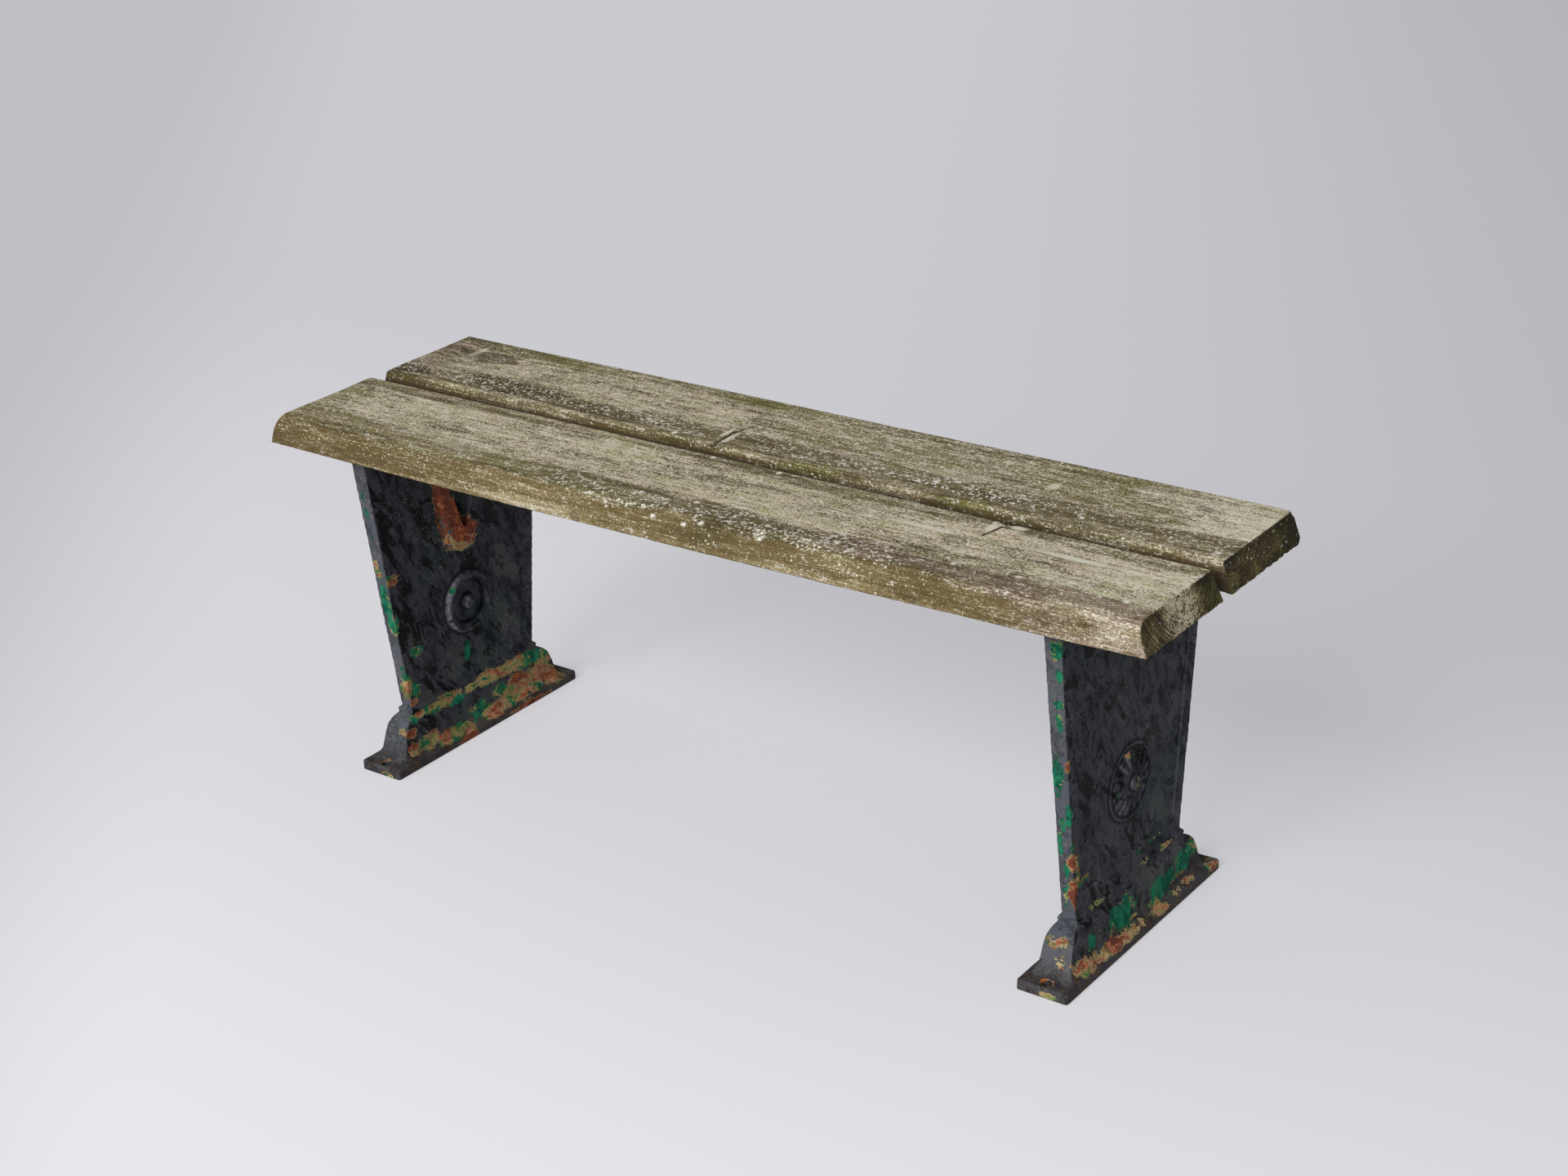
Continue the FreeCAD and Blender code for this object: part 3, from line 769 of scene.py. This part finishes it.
front_plank = Plank("front_plank", (-0.1905, -0.182), 0.008, 0.005, 0.020, 0.26, 1, (5, 2, 9))
front_plank.close_ups = [(-0.5545, -0.5395, 8), (0.318, 0.368, 34), (0.5665, 0.5805, 8)]
front_plank.dents = [((0.346, -0.0265, 0.450), 0.010, 0.007),
                     ((0.336, -0.034, 0.452), 0.007, 0.003),
                     ((0.002, -0.197, 0.4155), 0.005, 0.0012),
                     ((-0.5555, -0.195, 0.436), 0.007, 0.003),
                     ((-0.556, -0.193, 0.424), 0.005, 0.002)]
front_plank.splits = [((0.343, 0.026), (0.334, 0.072), 0.0017, 0.0028)]
front_plank.knots = [(-0.096, 0.2220, 0.0048, 0.0048), (0.318, 0.098, 0.012, 0.007)]
front_plank.torn = [(0.334, 0.046, 0.006, 0.016), (0.357, 0.036, 0.008, 0.010),
                    (0.270, 0.084, 0.035, 0.004), (0.440, 0.079, 0.040, 0.004)]
front_plank.clumps = [(-0.034, 0.157), (0.007, 0.197), (0.047, 0.198), (0.067, 0.190),
                      (0.141, 0.192), (0.035, 0.150), (0.221, 0.163), (0.348, 0.148),
                      (0.420, 0.144), (0.537, 0.142), (-0.029, 0.038), (0.060, 0.039)]
rear_plank = Plank("rear_plank", (-0.0065, -0.010), 0.0, 0.0, 0.004, 0.04, -1, (1, 8, 4))
rear_plank.close_ups = [(-0.5545, -0.5395, 8), (-0.072, -0.030, 34), (0.5645, 0.5805, 9)]
rear_plank.dents = [((-0.051, -0.010, 0.449), 0.008, 0.004),
                    ((-0.044, -0.006, 0.452), 0.006, 0.003),
                    ((0.577, 0.145, 0.452), 0.011, 0.004),
                    ((0.582, 0.146, 0.414), 0.009, 0.003)]
rear_plank.splits = [((-0.053, 0.006), (-0.057, -0.028), 0.0014, 0.0022),
                     ((-0.057, -0.028), (-0.053, -0.050), 0.0010, 0.0014),
                     ((-0.053, -0.050), (-0.044, -0.072), 0.0008, 0.0010)]
rear_plank.torn = [(-0.049, -0.018, 0.003, 0.018), (-0.062, -0.030, 0.003, 0.012),
                   (-0.490, -0.100, 0.004, 0.018), (0.330, -0.075, 0.006, 0.010)]
rear_plank.knots = [(-0.468, -0.092, 0.040, 0.014), (-0.050, 0.004, 0.008, 0.007),
                    (0.289, -0.065, 0.013, 0.007), (0.492, -0.100, 0.010, 0.006),
                    (-0.052, -0.078, 0.010, 0.008)]
rear_plank.clumps = [(-0.113, -0.001), (0.218, -0.024), (0.397, -0.016), (0.556, -0.006)]


def wood_tones(dark, middle, light):
    """The dark, middle and light tones of one kind of surface, at their places on a ramp."""
    return ((0.15, colour(*dark)), (0.50, colour(*middle)), (0.85, colour(*light)))


slate_tones = wood_tones((60, 53, 33), (106, 96, 65), (150, 139, 105))
green_lichen_tones = wood_tones((96, 96, 50), (152, 148, 104), (206, 206, 168))
warm_lichen_tones = wood_tones((112, 93, 62), (174, 155, 124), (224, 209, 186))
ochre_tones = wood_tones((89, 75, 46), (120, 105, 71), (153, 138, 101))
moss_tones = wood_tones((70, 67, 34), (118, 112, 68), (158, 151, 103))
rosy_tones = wood_tones((84, 68, 56), (126, 108, 90), (176, 156, 136))
lichen_tones = wood_tones((106, 101, 68), (168, 160, 128), (218, 212, 192))
end_tones = ((0.10, colour(44, 37, 24)), (0.40, colour(92, 80, 56)), (0.60, colour(134, 122, 92)),
             (0.90, colour(204, 194, 166)))
mossy_end_tones = ((0.10, colour(44, 42, 22)), (0.45, colour(92, 86, 50)),
                   (0.90, colour(176, 168, 122)))
lichen_white = colour(226, 222, 208)
crack_and_gap_shade_dark = colour(44, 36, 26)


def weathered_wood(name, plank, zones, pith):
    """Bare old wood. Zones says for a place how far lichen crusts it over, how many white
    specks it has, how light it is, and how ochre, mossy or rosy the wood itself shows."""
    material, at, normal = new_material(name)
    x = at.axis(0)
    unrolled = plank.high.z - at.axis(2) - at.axis(1)
    flat_at = x.node("ShaderNodeCombineXYZ", {}, {0: x, 1: unrolled})
    wander = at.stretched((7.0, 34.0, 34.0)).cloud(1.0, 6, 0.68) - 0.5
    across = unrolled + wander * 0.075
    along = x + (at.cloud(11.0, 4, 0.6) - 0.5) * 0.35
    crumbs = at.stretched((330.0, 560.0, 560.0)).cloud(1.0, 5, 0.8)
    lumps = at.stretched((62.0, 150.0, 150.0)).cloud(1.0, 5, 0.7)
    lines = at.stretched((20.0, 620.0, 620.0)).cloud(1.0, 3, 0.6)
    streak = at.stretched((9.0, 150.0, 150.0)).cloud(1.0, 5, 0.65)
    broad = at.stretched((8.0, 30.0, 30.0)).cloud(1.0, 4, 0.6)

    # the wood itself
    end = normal.axis(0).size().rise(0.6, 0.85)
    under = normal.axis(2).rise(-0.3, -0.8)
    crusted, speckled, light, ochre, moss, rosy = zones(along, across)
    patchy = (broad - 0.5) * 2.4
    tone = (light + 0.5 + (streak - 0.5) * 0.9 + (lines - 0.5) * 0.9 + (crumbs - 0.5) * 2.0
            + (lumps - 0.5) * 0.5 + (broad - 0.5) * 0.8 - under * 0.2)
    wood = tone.ramp(slate_tones)
    wood = (ochre + patchy).rise(0.3, 0.8).mix(wood, tone.ramp(ochre_tones))
    wood = (moss - patchy).rise(0.3, 0.8).mix(wood, tone.ramp(moss_tones))
    wood = (rosy + (lumps - 0.5)).rise(0.3, 0.7).mix(wood, tone.ramp(rosy_tones))

    # the crust of lichen on it, and flecks where it has only begun
    crust = ((crusted - 0.5) * 0.80 + (crumbs - 0.5) * 3.0 + (lumps - 0.5) * 0.9
             + (lines - 0.5) * 0.9 + (broad - 0.5) * 1.2 + (streak - 0.5))
    crust = crust.rise(-0.20, 0.22) * (1 - under)
    crust_tone = (0.5 + light * 0.6 + (crumbs - 0.5) * 3.2 + (lumps - 0.5) * 0.8
                  + (lines - 0.5) * 0.9)
    growth = at.stretched((16.0, 70.0, 70.0)).cloud(1.0, 5, 0.65)
    lichen = (growth.rise(0.50, 0.60) * 0.75).mix(crust_tone.ramp(lichen_tones),
                                                  crust_tone.ramp(green_lichen_tones))
    lichen = ((1 - growth.rise(0.38, 0.47)) * 0.75).mix(lichen, crust_tone.ramp(warm_lichen_tones))
    wood = (crust * 0.95).mix(wood, lichen)
    flecks = at.stretched((45.0, 620.0, 620.0)).cloud(1.0, 4, 0.7)
    flecks = (flecks + (lumps - 0.5) * 0.5 + rosy * 0.05).rise(0.61, 0.72)
    wood = (flecks * 0.5 * (1 - end)).mix(wood, (tone + 0.15).ramp(lichen_tones))

    # the sawn ends, with their rings
    from_pith = at.vector("SUBTRACT", (0.0, *pith)).stretched((0.0, 1.0, 1.0))
    radius = from_pith.vector("LENGTH", (0.0, 0.0, 0.0), 1)
    rings = radius.node("ShaderNodeTexNoise", {"noise_dimensions": "1D"},
                        {"W": radius * 480.0 + wander * 4.0, "Scale": 1.0, "Detail": 1.0})
    mottle = at.cloud(46, 5, 0.7)
    middle = 1 - (at.axis(1) - (plank.low.y + plank.high.y) / 2 - 0.010).size().rise(0.012, 0.050)
    top_dark = at.axis(2).rise(plank.high.z - 0.012, plank.high.z - 0.002) * (1 - middle * 0.6)
    rough_patch = middle * (lumps + (crumbs - 0.5) * 1.5).rise(0.36, 0.52) * plank.pale_end
    end_tone = (0.25 + plank.pale_end * 0.42 + (rings - 0.5) * (0.35 + plank.pale_end * 2.0)
                + (mottle - 0.5) * 1.2 + (crumbs - 0.5) * 1.6 + rough_patch * 2.3 - top_dark * 0.15
                - at.axis(1).rise(plank.high.y - 0.10, plank.high.y - 0.03) * 0.20)
    end_moss = (mottle + (lumps - 0.5) * 0.6).rise(0.46, 0.56) * (1 - rough_patch * 3.0)
    end_wood = end_moss.mix(end_tone.ramp(end_tones), end_tone.ramp(mossy_end_tones))
    wood = end.mix(wood, end_wood)

    # white specks of lichen, and larger clumps
    nearest, chance = at.shaken(300.0, 0.006).cells(310.0)
    few = speckled * 1.7 * (1 - under) * (1 - end * 0.6)
    few = few + (lumps - 0.5) * 0.9 * speckled.rise(0.0, 0.15) * (1 - end)
    speck_size = 0.12 + chance * 1.4 + (crumbs - 0.5) * 0.5
    speck = (few - chance).rise(0.0, 0.02)
    speck = speck * (1 - nearest.rise(speck_size, speck_size + 0.16)) * 0.9
    for place in plank.clumps:
        near = flat_at.vector("DISTANCE", (*place, 0.0), 1)
        clump = 1 - (near + (crumbs - 0.5) * 0.022).rise(0.0020, 0.0034)
        speck = speck.larger(clump * (1 - under))
    wood = speck.mix(wood, lichen_white)

    # torn places, splits, knots, and painted shade with dirt deep in the gap
    for torn_x, torn_across, half_length, half_width in plank.torn:
        reach = reach_of(flat_at, (torn_x, torn_across, 0.0), (half_length, half_width, 1.0))
        reach = reach + (lumps - 0.5) * 2.0 + (crumbs - 0.5) * 1.5
        wood = ((1 - reach.rise(0.6, 1.4)) * 0.9).mix(wood, (tone + 0.35).ramp(lichen_tones))
    dark = 1 - crumbs.rise(0.24, 0.30)
    for split in plank.splits:
        start, stop = Vector((*split[0], 0.0)), Vector((*split[1], 0.0))
        run = stop - start
        offset = flat_at.vector("SUBTRACT", start)
        share = offset.vector("DOT_PRODUCT", run / run.length_squared, 1)
        share = share.node("ShaderNodeClamp", {}, {0: share})
        foot = share.node("ShaderNodeVectorMath", {"operation": "SCALE"}, {0: run, "Scale": share})
        off_line = offset.vector("DISTANCE", foot, 1) + (crumbs - 0.5) * 0.003
        dark = dark.larger(1 - off_line.rise(split[2] * 0.4, split[2] * 1.3))
    for knot_x, knot_across, half_length, half_width in plank.knots:
        reach = reach_of(flat_at, (knot_x, knot_across, 0.0), (half_length, half_width, 1.0))
        reach = reach + (lumps - 0.5) * 2.0
        dark = dark.larger((1 - reach.rise(0.5, 1.1)) * (0.40 + (streak - 0.5) * 2.0))
        dark = dark.larger((1 - (reach - 1).size().rise(0.05, 0.30)) * 0.55)
    dark = dark * (1 - end)
    # the wall into the gap darkens deeper down: painted shade, partly dirt
    gap_wall = (normal.axis(1) * plank.gap_way).rise(0.4, 0.8)
    gap_shade_and_dirt = gap_wall * (plank.high.z - at.axis(2)).rise(0.005, 0.014) * 0.85
    wood = dark.larger(gap_shade_and_dirt).mix(wood, crack_and_gap_shade_dark)

    height = (crumbs * 0.8 + lines * 0.2 + streak * 0.2 + crust * 0.2 + speck * 0.2
              + lumps * 0.3 - dark * 0.8)
    finish_material(wood, 0.92 - speck * 0.05, height, wood_relief, wood_gloss)
    return material


def stretch(value, start, stop, ease):
    """1 between two places, easing off to 0 over a length at each end."""
    return value.rise(start - ease, start + ease) * (1 - value.rise(stop - ease, stop + ease))


def front_zones(x, across):
    """Lichen over the middle, a dark band that wanders along the nose, ochre and rosy wood on
    the front face, moss beside the gap."""
    rim = 1 - across.rise(0.040, 0.052)
    centre = stretch(across, 0.052, 0.146, 0.008)
    band_start = 0.146 + 0.012 * stretch(x, -0.10, 0.12, 0.1)
    band = (across - band_start).rise(-0.004, 0.004) * (1 - across.rise(0.176, 0.190))
    face = across.rise(0.172, 0.190)
    right = x.rise(0.18, 0.32)
    far_right = x.rise(0.38, 0.55)
    left_end = 1 - x.rise(-0.54, -0.44)
    rim_left = rim * (1 - x.rise(-0.2, 0.0))
    crusted = (centre * (0.76 - 0.30 * left_end - 0.08 * right) + rim * (0.46 + 0.2 * far_right)
               - rim_left * 0.12 + band * 0.16 + face * (0.10 + 0.28 * far_right))
    speckled = (0.045 + band * (0.09 + 0.11 * stretch(x, -0.15, 0.30, 0.1))
                + rim * 0.08 * stretch(x, -0.12, 0.3, 0.05)
                + face * 0.05 * stretch(x, -0.15, 0.35, 0.1))
    ochre = (face * (1 - band * 0.8) * (0.95 - 0.5 * far_right)
             + rim * 0.35 * (1 - x.rise(-0.2, 0.0)) + band * 0.5 * (1 - x.rise(-0.5, -0.42)))
    mossy_place = stretch(x, 0.20, 0.36, 0.04) * stretch(across, 0.078, 0.11, 0.01)
    moss = (rim * 0.45 * x.rise(-0.3, 0.1) + mossy_place * 0.8
            + band * (1 - x.rise(-0.05, 0.15)) * 0.5 + left_end * centre * 0.5)
    rosy = (face * x.rise(0.30, 0.5) * 0.55 + band * x.rise(0.10, 0.25) * 0.60
            + centre * far_right * 0.4)
    lower = across.rise(0.214, 0.224)
    light = (centre * (0.14 + 0.05 * right) - band * (0.02 - 0.02 * right) - face * 0.06
             + face * far_right * 0.28 + lower * 0.26 + centre * far_right * 0.20 - left_end * 0.10
             - rim_left * 0.06 + band * (1 - x.rise(-0.3, -0.1)) * 0.13
             - face * (1 - x.rise(-0.35, -0.15)) * 0.22 - face * right * (1 - far_right) * 0.15
             - face * stretch(x, -0.08, 0.24, 0.08) * 0.07)
    return crusted, speckled, light, ochre, moss, rosy


def rear_zones(x, across):
    """Lichen along the middle at the left, moss to the right, painted shade on the wall into the
    gap, and a lighter line along the front edge, partly wear and partly painted highlight.
    """
    back = 1 - across.rise(-0.122, -0.112)
    band_stop = -0.006 - 0.004 * x.rise(0.0, 0.3)
    band = across.rise(-0.042, -0.034) * (1 - across.rise(band_stop - 0.003, band_stop + 0.003))
    band = band * (0.35 + 0.65 * (stretch(x, -0.56, -0.06, 0.02) + stretch(x, 0.03, 0.36, 0.04)))
    lip = across.rise(-0.004, 0.001)
    gap_side = across.rise(0.012, 0.018)
    left_end = 1 - x.rise(-0.52, -0.40)
    right = x.rise(-0.08, 0.05)
    far_right = x.rise(0.42, 0.54)
    middle = (1 - back) * (1 - across.rise(-0.042, -0.034))
    crusted = (middle * (0.64 - 0.40 * left_end - 0.20 * right + 0.34 * far_right) + back * 0.30
               + (band + back) * far_right * 0.35 + band * 0.14 + lip * 0.30 * (1 - gap_side))
    speckled = 0.07 + band * 0.13 + right * 0.05 + gap_side * 0.02
    moss = (middle * right * (1 - far_right) * 0.55 + back * 0.6 + middle * (1 - right) * 0.2
            + lip * 0.3)
    ochre = lip * 0.4 + gap_side * 0.6
    rosy = left_end * middle * 0.65 + middle * far_right * 0.45 + gap_side * right * 0.3
    worn_edge_highlight = stretch(across, 0.000, 0.005, 0.0015)
    # the wall into the gap is painted darker as shade; the line along the front edge is painted
    # lighter, partly wear and partly painted highlight
    light = (middle * 0.08 - band * (0.04 + 0.12 * (1 - x.rise(-0.34, -0.22))) - back * 0.02
             - gap_side * 0.24 + worn_edge_highlight * 0.18
             + (middle * 0.30 + band * 0.34 + back * 0.24) * far_right - left_end * 0.20)
    return crusted, speckled, light, ochre, moss, rosy


for plank, zones, pith in ((front_plank, front_zones, (-0.085, 0.478)),
                           (rear_plank, rear_zones, (0.010, 0.490))):
    piece = weathered_plank(plank)
    piece.data.materials.append(weathered_wood(piece.name, plank, zones, pith))
    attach(piece, "root")
    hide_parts(plank.name)
